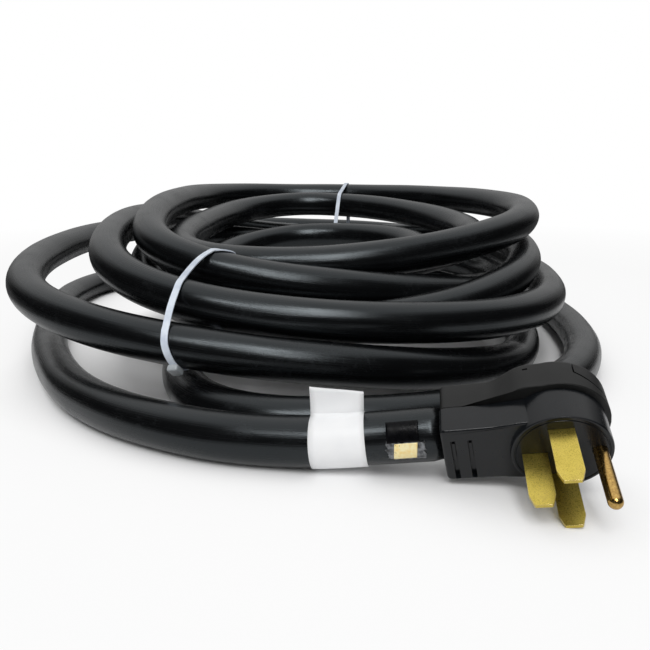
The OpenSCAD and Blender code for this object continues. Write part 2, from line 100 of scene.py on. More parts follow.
class Shader:
    def __init__(self, name, owner=None):
        self.owner = owner or bpy.data.materials.new(name)
        self.owner.use_nodes = True
        self.tree = self.owner.node_tree
        self.tree.nodes.clear()

    # Any node: its settings first, then the values or links of its sockets.
    def add(self, kind, settings=None, inputs=None, output=0):
        node = self.tree.nodes.new(kind)
        for key, value in (settings or {}).items():
            setattr(node, key, value)
        for key, value in (inputs or {}).items():
            if isinstance(value, Value):
                self.tree.links.new(value.socket, node.inputs[key])
            elif isinstance(value, tuple) and len(value) == 3 and node.inputs[key].type == "RGBA":
                node.inputs[key].default_value = (*value, 1)
            else:
                node.inputs[key].default_value = value
        return Value(self, node.outputs[output]) if len(node.outputs) else None

    def place(self):
        return self.add("ShaderNodeTexCoord", output="Object")

    def attribute(self, name):
        return self.add("ShaderNodeAttribute", {"attribute_name": name}, output="Vector")

    def scaled(self, vector, factors):
        return self.add("ShaderNodeVectorMath", {"operation": "MULTIPLY"}, {0: vector, 1: factors})

    # How far each point lies from a centre.
    def reach(self, vector, centre, factors=(1, 1, 1)):
        away = self.add("ShaderNodeVectorMath", {"operation": "SUBTRACT"}, {0: vector, 1: centre})
        return self.add("ShaderNodeVectorMath", {"operation": "LENGTH"}, {0: self.scaled(away, factors)},
                        output="Value")

    def noise(self, vector, scale, detail, roughness=0.55):
        return self.add("ShaderNodeTexNoise", None,
                        {"Vector": vector, "Scale": scale, "Detail": detail, "Roughness": roughness})

    def stretched(self, vector, factors, detail=3.0):
        return self.noise(self.scaled(vector, factors), 1.0, detail)

    def span(self, value, low, high, toLow=0.0, toHigh=1.0):
        return self.add("ShaderNodeMapRange", {"clamp": True},
                        {"Value": value, "From Min": low, "From Max": high,
                         "To Min": toLow, "To Max": toHigh})

    def mix(self, factor, first, second):
        return self.add("ShaderNodeMix", {"data_type": "RGBA"},
                        {0: factor, 6: first, 7: second}, output=2)

    def bump(self, height, distance, over=None):
        inputs = {"Height": height, "Distance": distance}
        if over is not None:
            inputs["Normal"] = over
        return self.add("ShaderNodeBump", None, inputs)

    def rayIs(self, name):
        return self.add("ShaderNodeLightPath", output=f"Is {name} Ray")

    def surface(self, **sockets):
        inputs = {key.replace("_", " "): value for key, value in sockets.items()}
        principled = self.add("ShaderNodeBsdfPrincipled", None, inputs)
        self.add("ShaderNodeOutputMaterial", None, {"Surface": principled})
        return self.owner


# Finishes: a noise is given by its scale per metre and its detail, and depths are in metres.
# A noise keeps mostly within one of these bands, so the band is spread over the whole range.
narrowBand = (0.35, 0.65)
wideBand = (0.3, 0.7)

jacketFinish = {
    "black": (0.0022, 0.0023, 0.0026),
    "dust": (0.008, 0.0085, 0.0095),
    "dustNoise": (310.0, 5.0, 0.7),
    "dustFrom": (0.31, 0.46),
    "dustRoughness": 0.08,
    "roughness": (0.2, 0.31),
    "roughFrom": (0.36, 0.64),
    "streaks": (18.0, 26.0, 26.0),    # along the cord, and round it
    "streakDepth": 0.00006,
    "ribs": (900.0, 1.2, 1.2),
    "ribShare": 0.12,
    "cloud": (38.0, 4.0),
    "grain": (2600.0, 2.0),
    "grainDepth": 0.00002,
    "ior": 1.5,
    "gloss": (0.86, 0.95, 1.0),
}


def jacketMaterial():
    made = Shader("jacket rubber")
    lay = made.attribute("lay")
    place = made.place()
    streak = made.stretched(lay, jacketFinish["streaks"])
    ribs = made.stretched(lay, jacketFinish["ribs"], 1.0)
    cloud = made.noise(place, *jacketFinish["cloud"])
    grain = made.noise(place, *jacketFinish["grain"])
    dust = made.noise(place, *jacketFinish["dustNoise"]) * cloud
    dust = made.span(dust, *jacketFinish["dustFrom"])
    color = made.mix(dust, jacketFinish["black"], jacketFinish["dust"])
    rough = made.span(streak * 0.5 + cloud * 0.5, *jacketFinish["roughFrom"], *jacketFinish["roughness"])
    coarse = made.bump(streak + ribs * jacketFinish["ribShare"], jacketFinish["streakDepth"])
    return made.surface(Base_Color=color, Roughness=rough + dust * jacketFinish["dustRoughness"],
                        Normal=made.bump(grain, jacketFinish["grainDepth"], coarse),
                        IOR=jacketFinish["ior"], Specular_Tint=jacketFinish["gloss"])


bodyFinish = {
    "gloss": {"dark": (0.0036, 0.0044, 0.0054), "light": (0.0062, 0.0074, 0.009),
              "roughness": (0.17, 0.27), "ior": 1.42, "grain": (3200.0, 2.0), "depth": 0.000012},
    "grip": {"dark": (0.0086, 0.0088, 0.0086), "light": (0.0145, 0.0147, 0.0144),
             "roughness": (0.42, 0.55), "ior": 1.36, "grain": (2400.0, 2.0), "depth": 0.00005},
    "pad": {"dark": (0.0042, 0.0043, 0.0045), "light": (0.0075, 0.0076, 0.0078),
            "roughness": (0.36, 0.48), "ior": 1.36, "grain": (2400.0, 2.0), "depth": 0.00005},
    "cloud": (55.0, 4.0),
    "flow": (30.0, 90.0, 90.0),
    "flowShare": 0.6,
    "scuffs": (900.0, 260.0, 700.0),
    "scuffFrom": (0.66, 0.74),
    "scuffRoughness": 0.1,
}


def mouldedMaterial(name, look):
    made = Shader(name)
    place = made.place()
    cloud = made.noise(place, *bodyFinish["cloud"])
    flow = made.stretched(place, bodyFinish["flow"])
    grain = made.noise(place, *look["grain"])
    scuff = made.span(made.stretched(place, bodyFinish["scuffs"], 2.0), *bodyFinish["scuffFrom"])
    color = made.mix(made.span(cloud, *wideBand), look["dark"], look["light"])
    marks = flow * bodyFinish["flowShare"] + cloud * (1 - bodyFinish["flowShare"])
    rough = made.span(marks, *narrowBand, *look["roughness"])
    return made.surface(Base_Color=color, Roughness=rough + scuff * bodyFinish["scuffRoughness"],
                        Normal=made.bump(grain, look["depth"]), IOR=look["ior"])


brassFinish = {
    "blade": {"bright": (0.78, 0.62, 0.14), "dull": (0.5, 0.39, 0.07), "stain": (0.4, 0.29, 0.07),
              "roughness": (0.24, 0.4), "grain": (2100.0, 4.0, 0.7), "depth": 0.000035,
              "drawn": (300.0, 300.0, 300.0)},
    # Broken edges of the blades: polished wear, made much lighter than the faces as a painted highlight along
    # the edge lines.
    "edge": {"bright": (1.0, 0.9, 0.62), "dull": (0.92, 0.72, 0.4), "stain": (0.85, 0.55, 0.36),
             "roughness": (0.1, 0.2), "grain": (900.0, 4.0, 0.7), "depth": 0.00001,
             "drawn": (300.0, 300.0, 300.0)},
    "pin": {"bright": (0.7, 0.46, 0.15), "dull": (0.34, 0.2, 0.065), "stain": (0.16, 0.085, 0.03),
            "roughness": (0.12, 0.28), "grain": (900.0, 4.0, 0.7), "depth": 0.00002,
            "drawn": (260.0, 16.0, 60.0)},
    "patch": (110.0, 3.0),
    "shares": (0.55, 0.25, 0.2),      # of grain, patches and drawing marks in the tone
    "toneFrom": (0.38, 0.6),
    "stainFrom": (0.5, 0.68),
    "stainShare": 0.6,
}


def brassMaterial(name, look):
    made = Shader(name)
    place = made.place()
    grain = made.noise(place, *look["grain"])
    patch = made.noise(place, *brassFinish["patch"])
    drawn = made.stretched(place, look["drawn"])
    fine, broad, along = brassFinish["shares"]
    tone = made.span(grain * fine + patch * broad + drawn * along, *brassFinish["toneFrom"])
    color = made.mix(tone, look["dull"], look["bright"])
    stain = made.span(patch * 0.5 + drawn * 0.5, *brassFinish["stainFrom"], 0.0, brassFinish["stainShare"])
    return made.surface(Base_Color=made.mix(stain, color, look["stain"]), Metallic=1.0,
                        Roughness=made.span(grain, *narrowBand, *look["roughness"]),
                        Normal=made.bump(grain, look["depth"]))


tieFinish = {
    "strap": ((0.74, 0.8, 0.88), (0.56, 0.62, 0.72)),
    # The front tie's head is a darker grey than its strap: painted shade, where it sits low under the
    # strands.
    "head": ((0.42, 0.45, 0.47), (0.3, 0.33, 0.34)),
    "cloud": (90.0, 3.0),
    "roughness": (0.28, 0.42),
    "grain": (1800.0, 2.0),
    "depth": 0.00002,
    "lightInside": 0.25,
    "lightReach": (0.002, 0.002, 0.002),
}


def nylonMaterial(name, tones):
    made = Shader(name)
    place = made.place()
    cloud = made.noise(place, *tieFinish["cloud"])
    grain = made.noise(place, *tieFinish["grain"])
    return made.surface(Base_Color=made.mix(made.span(cloud, *narrowBand), *tones),
                        Roughness=made.span(cloud, *wideBand, *tieFinish["roughness"]),
                        Normal=made.bump(grain, tieFinish["depth"]),
                        Subsurface_Weight=tieFinish["lightInside"],
                        Subsurface_Radius=tieFinish["lightReach"])


labelFinish = {
    "tones": ((0.9, 0.905, 0.91), (0.86, 0.868, 0.88)),
    "cloud": (60.0, 3.0),
    "roughness": (0.42, 0.55),
    "fibre": (1400.0, 3.0),
    "depth": 0.00001,
}


def paperMaterial():
    made = Shader("label film")
    place = made.place()
    fibre = made.noise(place, *labelFinish["fibre"])
    cloud = made.noise(place, *labelFinish["cloud"])
    return made.surface(Base_Color=made.mix(made.span(cloud, *wideBand), *labelFinish["tones"]),
                        Roughness=made.span(fibre, *wideBand, *labelFinish["roughness"]),
                        Normal=made.bump(fibre, labelFinish["depth"]))


filmFinish = {
    "carrier plastic": {"tones": ((0.5, 0.47, 0.38), (0.58, 0.55, 0.46)), "roughness": 0.45},
    "black film": {"tones": ((0.0015, 0.0015, 0.002), (0.003, 0.003, 0.004)), "roughness": 0.2, "ior": 1.2},
    "silver backing": {"tones": ((0.05, 0.052, 0.056), (0.24, 0.25, 0.26)), "roughness": 0.3,
                       "metallic": 0.6},
    "gold foil": {"tones": ((0.96, 0.75, 0.31), (1.0, 0.9, 0.54)), "roughness": 0.26, "metallic": 0.4},
}
filmDetail = {"crinkle": (420.0, 3.0), "depth": 0.00008, "patch": (150.0, 2.0), "roughnessSpread": 0.14}


def filmMaterial(name):
    look = filmFinish[name]
    made = Shader(name)
    place = made.place()
    crinkle = made.noise(place, *filmDetail["crinkle"])
    patch = made.noise(place, *filmDetail["patch"])
    low, high = look["roughness"], look["roughness"] + filmDetail["roughnessSpread"]
    return made.surface(Base_Color=made.mix(made.span(crinkle, *narrowBand), *look["tones"]),
                        Roughness=made.span(patch, *wideBand, low, high),
                        Metallic=look.get("metallic", 0.0), IOR=look.get("ior", 1.5),
                        Normal=made.bump(crinkle, filmDetail["depth"]))


insulationFinish = {
    "black": (0.02, 0.02, 0.022),
    "red": (0.42, 0.022, 0.016),
    "white": (0.8, 0.78, 0.72),
    "green": (0.018, 0.2, 0.07),
}
insulationDetail = {"shade": 0.7, "cloud": (160.0, 3.0), "roughness": (0.34, 0.48),
                    "grain": (1500.0, 2.0), "depth": 0.00003}


def insulationMaterial(name, tone):
    made = Shader(name)
    place = made.place()
    cloud = made.noise(place, *insulationDetail["cloud"])
    grain = made.noise(place, *insulationDetail["grain"])
    darker = tuple(insulationDetail["shade"] * c for c in tone)
    return made.surface(Base_Color=made.mix(made.span(cloud, *narrowBand), tone, darker),
                        Roughness=made.span(cloud, *wideBand, *insulationDetail["roughness"]),
                        Normal=made.bump(grain, insulationDetail["depth"]))


copperFinish = {
    "tones": ((0.78, 0.36, 0.2), (0.5, 0.2, 0.1)),
    "tarnish": (260.0, 4.0),
    "roughness": (0.26, 0.42),
    "grain": (2200.0, 2.0),
    "depth": 0.00003,
}


def copperMaterial():
    made = Shader("copper")
    place = made.place()
    tarnish = made.noise(place, *copperFinish["tarnish"])
    grain = made.noise(place, *copperFinish["grain"])
    return made.surface(Base_Color=made.mix(made.span(tarnish, *narrowBand), *copperFinish["tones"]),
                        Metallic=1.0,
                        Roughness=made.span(tarnish, *wideBand, *copperFinish["roughness"]),
                        Normal=made.bump(grain, copperFinish["depth"]))


finishes = {
    "jacket": jacketMaterial(),
    "body_plastic": mouldedMaterial("glossy body plastic", bodyFinish["gloss"]),
    "grip_plastic": mouldedMaterial("matt grip plastic", bodyFinish["grip"]),
    "pad_plastic": mouldedMaterial("dark pad plastic", bodyFinish["pad"]),
    "carrier_plastic": filmMaterial("carrier plastic"),
    "blade_brass": brassMaterial("blade brass", brassFinish["blade"]),
    "pin_brass": brassMaterial("pin brass", brassFinish["pin"]),
    "tie_nylon": nylonMaterial("tie nylon", tieFinish["strap"]),
    "label_film": paperMaterial(),
    "sticker_film": filmMaterial("black film"),
    "foil": filmMaterial("gold foil"),
    "copper": copperMaterial(),
}
for insulation, tone in insulationFinish.items():
    finishes["insulation_" + insulation] = insulationMaterial(insulation + " insulation", tone)
shadedHeadNylon = nylonMaterial("tie head nylon with painted shade", tieFinish["head"])
edgeHighlightBrass = brassMaterial("polished blade edge with painted highlight", brassFinish["edge"])
silverFilm = filmMaterial("silver backing")
print("finishes made:", len(finishes) + 3)


# Mesh helpers.
def addObject(name, verts, faces, slotName):
    mesh = bpy.data.meshes.new(name)
    mesh.from_pydata([tuple(v) for v in verts], [], faces)
    mesh.validate()
    piece = bpy.data.objects.new(name, mesh)
    scene.collection.objects.link(piece)
    mesh.shade_smooth()
    mesh.materials.append(finishes[slotName])
    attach(piece, "root")
    return piece


def thicken(piece, thickness):
    thick = piece.modifiers.new("thickness", "SOLIDIFY")
    thick.thickness = thickness
    thick.offset = 0


# A face for each gap between neighbouring rows of points.
def gridFaces(rows, columns):
    return [(i * columns + j, i * columns + j + 1, (i + 1) * columns + j + 1, (i + 1) * columns + j)
            for i in range(rows - 1) for j in range(columns - 1)]


def unit(v):
    return v / np.linalg.norm(v)


# Distance along a line of points, at each of them.
def distances(points):
    return np.concatenate(([0], np.cumsum(np.linalg.norm(np.diff(points, axis=0), axis=1))))


# Sides and ups that follow a path without twisting.
def pathFrames(points):
    tangents = np.gradient(points, axis=0)
    tangents /= np.linalg.norm(tangents, axis=1)[:, None]
    sides = np.empty_like(points)
    sides[0] = unit(np.cross(tangents[0], (0, 0, 1)))
    for i in range(1, len(points)):
        side = sides[i - 1] - tangents[i] * np.dot(sides[i - 1], tangents[i])
        sides[i] = unit(side)
    return sides, np.cross(sides, tangents)


def tubeMesh(name, points, radii, sideCount, slotName, withLay=False):
    sides, ups = pathFrames(points)
    angles = np.linspace(0, 2 * math.pi, sideCount, endpoint=False)
    ring = np.cos(angles)[None, :, None] * sides[:, None, :] - np.sin(angles)[None, :, None] * ups[:, None, :]
    verts = (points[:, None, :] + radii[:, :, None] * ring).reshape(-1, 3)
    faces = []
    for i in range(len(points) - 1):
        for j in range(sideCount):
            a, b = i * sideCount + j, i * sideCount + (j + 1) % sideCount
            faces.append((a, b, b + sideCount, a + sideCount))
    faces.append(tuple(range(sideCount))[::-1])
    last = (len(points) - 1) * sideCount
    faces.append(tuple(range(last, last + sideCount)))
    piece = addObject(name, verts, faces, slotName)
    if withLay:
        lay = np.empty((len(points), sideCount, 3), np.float32)
        lay[:, :, 0] = distances(points)[:, None]
        lay[:, :, 1] = np.cos(angles)
        lay[:, :, 2] = np.sin(angles)
        layer = piece.data.attributes.new("lay", "FLOAT_VECTOR", "POINT")
        layer.data.foreach_set("vector", lay.ravel())
    return piece


# The cord. The points and reaches of its route are in millimetres, as is the plug's place.
cord = {
    "radius": 15 * mm,
    "realLength": 10.97,
    "ringStep": 6 * mm,
    "sides": 36,
    "layStrands": 3,
    "layLength": 0.33,
    "layDepth": 0.00012,
    "endRound": 1.2 * mm,
    "endEase": 0.1 * mm,
    "straight": 0.03,             # out of the plug, and at both ends of the coil
}
plug = {
    "turn": (113, -9.6, -11.5),
    "at": (13.95, -8.6, 28.4),
    "neckLength": 59.0,
    "cordHeight": -20.5,
}
lead = {
    "points": [
        (-120, 34.5, 16), (-175, 47.5, 15), (-230, 76.5, 15), (-275, 117.5, 15), (-310, 167.5, 15),
        (-345, 236.5, 15), (-375, 314.5, 15), (-403, 404.5, 15), (-419, 494.5, 15), (-410, 579.5, 15),
        (-360, 644.5, 15), (-280, 682.5, 15), (-195, 696.5, 15)],
    "step": 0.02,
}
# Turns of the coil: reach and height in front, at the left, at the back and at the right,
# and how square the left and right ends are.
coil = {
    "centre": (-120, 369.5),
    "span": (0.5, 8.32),
    "step": 0.001,
    "headingStep": 0.002,
    "turns": [
        (335, 15, 305, 15, 330, 15, 265, 15, 0.05, 0.05),
        (300, 15, 108, 15, 212, 31, 205, 2, 0, 0),
        (264, 42, 256, 89, 285, 81, 230, 63, 0.05, 0.04),
        (241, 66, 179, 116, 228, 77, 211, 92, 0.05, 0.03),
        (210, 54, 156, 92, 162, 73, 195, 58, 0.03, 0.02),
        (184, 80, 149, 129, 232, 132, 214, 126, 0.04, 0.01),
        (152, 91, 121, 105, 198, 122, 164, 104, 0.02, 0),
        (119, 80, 111, 71, 116, 88, 117, 83, 0, 0),
        (111, 45, 75, 15, 90, 15, 90, 15, 0, 0)],
}
plugAxes = np.array(Euler([math.radians(a) for a in plug["turn"]], "XYZ").to_matrix())
endReach = [r[i] for r in coil["turns"] for i in (0, 4)]
sideReach = [r[i] for r in coil["turns"] for i in (2, 6)]
turnHeights = [r[i] for r in coil["turns"] for i in (1, 3, 5, 7)]
squareness = [v for r in coil["turns"] for v in r[8:]]


# A smooth curve through the values, one for each whole number.
def smoothAt(values, t):
    values = np.asarray(values, float)
    count = len(values)
    i = int(math.floor(t))
    f = t - i
    a, b, c, d = (values[max(0, min(count - 1, i + k))] for k in (-1, 0, 1, 2))
    return ((2 * f**3 - 3 * f * f + 1) * b + (f**3 - 2 * f * f + f) * (c - a) / 2
            + (3 * f * f - 2 * f**3) * c + (f**3 - f * f) * (d - b) / 2)


def onCoil(turns):
    t = 2 * math.pi * turns
    x = smoothAt(sideReach, 2 * turns - 0.5)
    y = smoothAt(endReach, 2 * turns)
    k = smoothAt(squareness, 2 * turns - 0.5)
    return np.array((coil["centre"][0] - x * (math.sin(t) + k * math.sin(3 * t)) / (1 - k),
                     coil["centre"][1] - y * (math.cos(t) - k * math.cos(3 * t)) / (1 - k),
                     max(cord["radius"] / mm, smoothAt(turnHeights, 4 * turns)))) * mm


def coilHeading(turns):
    return unit(onCoil(turns + coil["headingStep"]) - onCoil(turns - coil["headingStep"]))


cordExit = (np.array(plug["at"]) * mm
            + plugAxes @ (np.array((-plug["neckLength"], 0, plug["cordHeight"])) * mm))
cordWay = -plugAxes[:, 0]
coilStart = onCoil(coil["span"][0]) - cord["straight"] * coilHeading(coil["span"][0])
coilEnd = onCoil(coil["span"][1]) + cord["straight"] * coilHeading(coil["span"][1])
leadHold = [cordExit, cordExit + cord["straight"] * cordWay]
leadHold += [np.array(p) * mm for p in lead["points"]] + [coilStart]


def onLead(t):
    p = smoothAt(leadHold, t)
    p[2] = max(p[2], cord["radius"])
    return p


def evenly(points, step):
    points = np.array(points)
    along = distances(points)
    wanted = np.linspace(0, along[-1], int(round(along[-1] / step)) + 1)
    return np.stack([np.interp(wanted, along, points[:, k]) for k in range(3)], axis=1)


leadRoute = [onLead(t) for t in np.arange(1, len(leadHold) - 1, lead["step"])]
coilRoute = [onCoil(u) for u in np.arange(coil["span"][0], coil["span"][1] + coil["step"] / 2, coil["step"])]
cordRoute = evenly([cordExit] + leadRoute + [coilStart] + coilRoute + [coilEnd], cord["ringStep"])


# The twisted conductors inside show as a faint lay on the jacket.
def makeCord():
    along = np.arange(len(cordRoute)) * cord["ringStep"]
    angles = np.linspace(0, 2 * math.pi, cord["sides"], endpoint=False)
    turned = 2 * math.pi * along / cord["layLength"]
    lay = np.cos(cord["layStrands"] * (angles[None, :] - turned[:, None]))
    radii = cord["radius"] - cord["layDepth"] * (1 - lay)
    radii[0] = radii[-1] = cord["radius"] - cord["endRound"]
    radii[-2] -= cord["endEase"]
    piece = tubeMesh("cord", cordRoute, radii, cord["sides"], "jacket", withLay=True)
    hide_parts("cord_lead", "cord_coil")
    return piece


cordPiece = makeCord()
print("cord made:", len(cordRoute), "rings")


# Label on the lead: round the cord, with its two plies standing up together as a flag.
labelSetup = {
    "from": 1.27,                 # along the points that hold the lead
    "to": 1.85,
    "aheadStep": 0.01,
    "gap": 0.15 * mm,
    "thick": 0.3 * mm,
    "flag": (13.5 * mm, 18.5 * mm),
    "plyGap": 0.3 * mm,
    "lean": 3.5 * mm,
    "skew": 1.6 * mm,
    "curl": 1.6,
    "wave": 0.4 * mm,
    "waves": (5, 3),              # along the cord and up the flag, in radians
    "wrapAngles": (91, 449),
    "rings": 9,
    "wrapSteps": 40,
    "flagSteps": 8,
}


def labelRing(share):
    along = labelSetup["from"] + (labelSetup["to"] - labelSetup["from"]) * share
    centre = onLead(along)
    ahead = unit(onLead(along + labelSetup["aheadStep"]) - centre)
    side = unit(np.cross(ahead, (0, 0, 1)))
    up = np.cross(side, ahead)
    radius = cord["radius"] + labelSetup["gap"] + labelSetup["thick"] / 2
    short, tall = labelSetup["flag"]
    wavesAlong, wavesUp = labelSetup["waves"]
    plies = []
    for ply in (-1, 1):
        flag = []
        for j in range(labelSetup["flagSteps"]):
            h = 1 - j / labelSetup["flagSteps"]
            rise = radius + (short + (tall - short) * share) * h
            aside = labelSetup["lean"] * h**labelSetup["curl"]
            aside += labelSetup["wave"] * math.sin(wavesAlong * share + wavesUp * h)
            flag.append(centre + up * rise - side * (ply * labelSetup["plyGap"] / 2 + aside)
                        - ahead * labelSetup["skew"] * h)
        plies.append(flag)
    wrap = [centre + radius * (math.cos(a) * side + math.sin(a) * up)
            for a in np.radians(np.linspace(*labelSetup["wrapAngles"], labelSetup["wrapSteps"]))]
    return plies[1] + wrap[::-1] + plies[0][::-1]


def makeLabel():
    rings = [labelRing(share) for share in np.linspace(0, 1, labelSetup["rings"])]
    piece = addObject("wrapLabel", sum(rings, []), gridFaces(len(rings), len(rings[0])), "label_film")
    thicken(piece, labelSetup["thick"])
    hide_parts("wrap_label")
    return piece


# Sticker beside the plug: where each patch starts along the cord, how long it is, and the
# degrees that it covers, with 0 in front and 90 on top.
stickerSetup = {
    "black": {"lift": 0.25 * mm, "start": 11.5 * mm, "length": 17.5 * mm, "angles": (32, 76)},
    "backing": {"lift": 0.2 * mm, "start": 9 * mm, "length": 20.5 * mm, "angles": (-8, 33),
                "ragged": 3 * mm},
    "foil": {"lift": 0.5 * mm, "start": 12.5 * mm, "length": 12.5 * mm, "angles": (-5, 30),
             "skew": 1.6 * mm},
    "thick": 0.12 * mm,
    "rows": 16,
    "columns": 14,
    "tearScale": 6,
    "tearTurn": 60,
}


def cordPointAt(start, angle, lift):
    way = math.cos(angle) * plugAxes[:, 2] + math.sin(angle) * plugAxes[:, 1]
    return cordExit + start * cordWay + (cord["radius"] + lift) * way


def makePatch(name, slotName, patch):
    rows, columns, scale = stickerSetup["rows"], stickerSetup["columns"], stickerSetup["tearScale"]
    low, high = patch["angles"]
    verts = []
    for i in range(rows + 1):
        for j in range(columns + 1):
            f, g = i / rows, j / columns
            tear = 0.0
            if i in (0, rows) or j in (0, columns):
                tear = patch.get("ragged", 0.0) * noise.noise(Vector((f * scale, g * scale, 1)))
            angle = math.radians(low + (high - low) * g) + tear * stickerSetup["tearTurn"]
            along = patch["start"] + patch["length"] * f + tear + patch.get("skew", 0.0) * (1 - g)
            verts.append(cordPointAt(along, angle, patch["lift"]))
    piece = addObject(name, verts, gridFaces(rows + 1, columns + 1), slotName)
    thicken(piece, stickerSetup["thick"])
    return piece


label = makeLabel()
blackPatch = makePatch("blackSticker", "sticker_film", stickerSetup["black"])
silverPatch = makePatch("stickerBacking", "sticker_film", stickerSetup["backing"])
silverPatch.data.materials[0] = silverFilm
foilPatch = makePatch("foilPatch", "foil", stickerSetup["foil"])
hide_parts("sticker_base")
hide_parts("sticker_base")
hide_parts("foil_patch")
print("label and sticker made")


# Solids that keep their CAD form: new name, finish, and width of their broken edges.
keptForms = {
    "plug_body": ("plugBody", "body_plastic", 0.35),
    "rear_grip": ("rearGrip", "grip_plastic", 0.35),
    "grip_end_pad": ("gripEndPad", "pad_plastic", 0.3),
    "hot_blade_upper": ("hotBladeUpper", "blade_brass", 0.4),
    "hot_blade_lower": ("hotBladeLower", "blade_brass", 0.4),
    "neutral_blade": ("neutralBlade", "blade_brass", 0.4),
    "ground_pin": ("groundPin", "pin_brass", 0.15),
    "rear_tie_strap": ("rearTieStrap", "tie_nylon", 0.25),
    "rear_tie_head": ("rearTieHead", "tie_nylon", 0.7),
}
edgeSetup = {"segments": 3, "sharpFrom": 32.0, "weight": 80, "joinWithin": 0.01 * mm, "flatWithin": 1.0}


def breakEdges(piece, width, edgeSlot=-1):
    edge = piece.modifiers.new("broken edges", "BEVEL")
    edge.width = width * mm
    edge.segments = edgeSetup["segments"]
    edge.limit_method = "ANGLE"
    edge.angle_limit = math.radians(edgeSetup["sharpFrom"])
    edge.use_clamp_overlap = True
    edge.harden_normals = False
    edge.material = edgeSlot
    even = piece.modifiers.new("even shading", "WEIGHTED_NORMAL")
    even.keep_sharp = True
    even.weight = edgeSetup["weight"]


def softened(node, name, slotName, width):
    mesh = bmesh.new()
    mesh.from_mesh(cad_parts[node].data)
    bmesh.ops.remove_doubles(mesh, verts=mesh.verts, dist=edgeSetup["joinWithin"])
    bmesh.ops.dissolve_limit(mesh, angle_limit=math.radians(edgeSetup["flatWithin"]),
                             verts=mesh.verts, edges=mesh.edges)
    verts = [v.co.copy() for v in mesh.verts]
    faces = [[v.index for v in f.verts] for f in mesh.faces]
    mesh.free()
    piece = addObject(name, verts, faces, slotName)
    # The blades' broken edges take the lighter edge brass: a painted highlight on top of polished wear.
    if slotName == "blade_brass":
        piece.data.materials.append(edgeHighlightBrass)
    breakEdges(piece, width, len(piece.data.materials) - 1)
    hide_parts(node)


for node, form in keptForms.items():
    softened(node, *form)
print("plug, blades and rear tie made")


# Front tie: a strap that follows the strands it holds and is drawn aside as it goes round them.
frontTie = {
    "at": (-206, 140, 0),
    "angle": 172,
    "held": [(4.95, 5.2), (2.95, 3.2), (1.95, 2.2), (3.95, 4.2)],
    "width": 4.8,
    "thick": 1.1,
    "gap": 0.5,
    # how far round, from underneath by way of the front, and how far aside there
    "aside": [(0, -10), (0.04, -8), (0.1, -2.5), (0.2, 0), (0.36, -2), (0.42, -4), (0.455, -7), (0.5, -20),
              (0.6, -23), (0.85, -18), (1, -10)],
    "halvings": 16,
    "steps": 120,
    "bridge": np.linspace(0.06, 0.94, 15),    # steps from one strand to the next
    "smoothOver": 13,
    "edge": 0.25,
    "headStrand": 2,
    "headAngle": 228,
    "head": (9.4, 8.0, 4.928),
    "headLift": 2.25,
    "headEdge": 1.4,
}
tieTurn = math.radians(frontTie["angle"])
tieWay = np.array((math.cos(tieTurn), math.sin(tieTurn), 0))
tieAcross = np.array((tieWay[1], -tieWay[0], 0))
upward = np.array((0.0, 0.0, 1.0))


def facing(angle):
    return math.cos(angle) * tieAcross + math.sin(angle) * upward


# Where a held strand crosses the tie's plane, moved aside, and how squarely it does.
def strandAt(span, aside):
    low, high = span
    for halving in range(frontTie["halvings"]):
        middle = (low + high) / 2
        past = np.dot(onCoil(middle) - np.array(frontTie["at"]) * mm, tieWay) > aside * mm
        low, high = (low, middle) if past else (middle, high)
    return onCoil(middle), abs(np.dot(coilHeading(middle), tieWay))


# Where the strap lies on one strand: the point of its round that faces the given angle.
def onStrand(strand, angle, aside):
    centre, square = strandAt(frontTie["held"][strand], aside)
    high = cord["radius"] + (frontTie["gap"] + frontTie["thick"] / 2) * mm
    wide = high / square
    c, n = math.cos(angle), math.sin(angle)
    reach = math.hypot(wide * c, high * n)
    return centre + (wide * wide * c * tieAcross + high * high * n * upward) / reach


# Steps round the tie, each on a strand or on the straight stretch from one strand to the next.
def strapStations():
    stations, last = [], None
    for k in range(frontTie["steps"]):
        angle = 1.5 * math.pi - 2 * math.pi * k / frontTie["steps"]
        way = facing(angle)
        strand = max(range(len(frontTie["held"])), key=lambda i: np.dot(onStrand(i, angle, 0), way))
        if last is not None and strand != last:
            stations += [(last, strand, share, angle) for share in frontTie["bridge"]]
        stations.append((strand, strand, 0.0, angle))
        last = strand
    return stations


def strapPoint(station, aside):
    first, second, share, angle = station
    return (1 - share) * onStrand(first, angle, aside) + share * onStrand(second, angle, aside)


def strapAsides(stations):
    plain = np.array([strapPoint(s, 0) for s in stations])
    steps = np.linalg.norm(np.roll(plain, -1, axis=0) - plain, axis=1)
    wayRound = np.concatenate(([0], np.cumsum(steps)[:-1])) / steps.sum()
    asides = np.interp(wayRound, *zip(*frontTie["aside"]))
    spread = np.hanning(frontTie["smoothOver"])
    over = frontTie["smoothOver"] // 2
    closed = np.concatenate((asides[-over:], asides, asides[:over]))
    return np.convolve(closed, spread / spread.sum(), "valid")


def makeFrontTie():
    stations = strapStations()
    points = np.array([strapPoint(s, a) for s, a in zip(stations, strapAsides(stations))])
    ahead = np.roll(points, -1, axis=0) - np.roll(points, 1, axis=0)
    ahead /= np.linalg.norm(ahead, axis=1)[:, None]
    side = np.cross(ahead, np.array([facing(s[3]) for s in stations]))
    side /= np.linalg.norm(side, axis=1)[:, None]
    out = np.cross(side, ahead)
    makeStrap(points, side, out)

    turns = [abs(s[3] - math.radians(frontTie["headAngle"])) + (s[0] != frontTie["headStrand"])
             for s in stations]
    k = int(np.argmin(turns))
    makeTieHead(points[k], ahead[k], side[k], out[k])


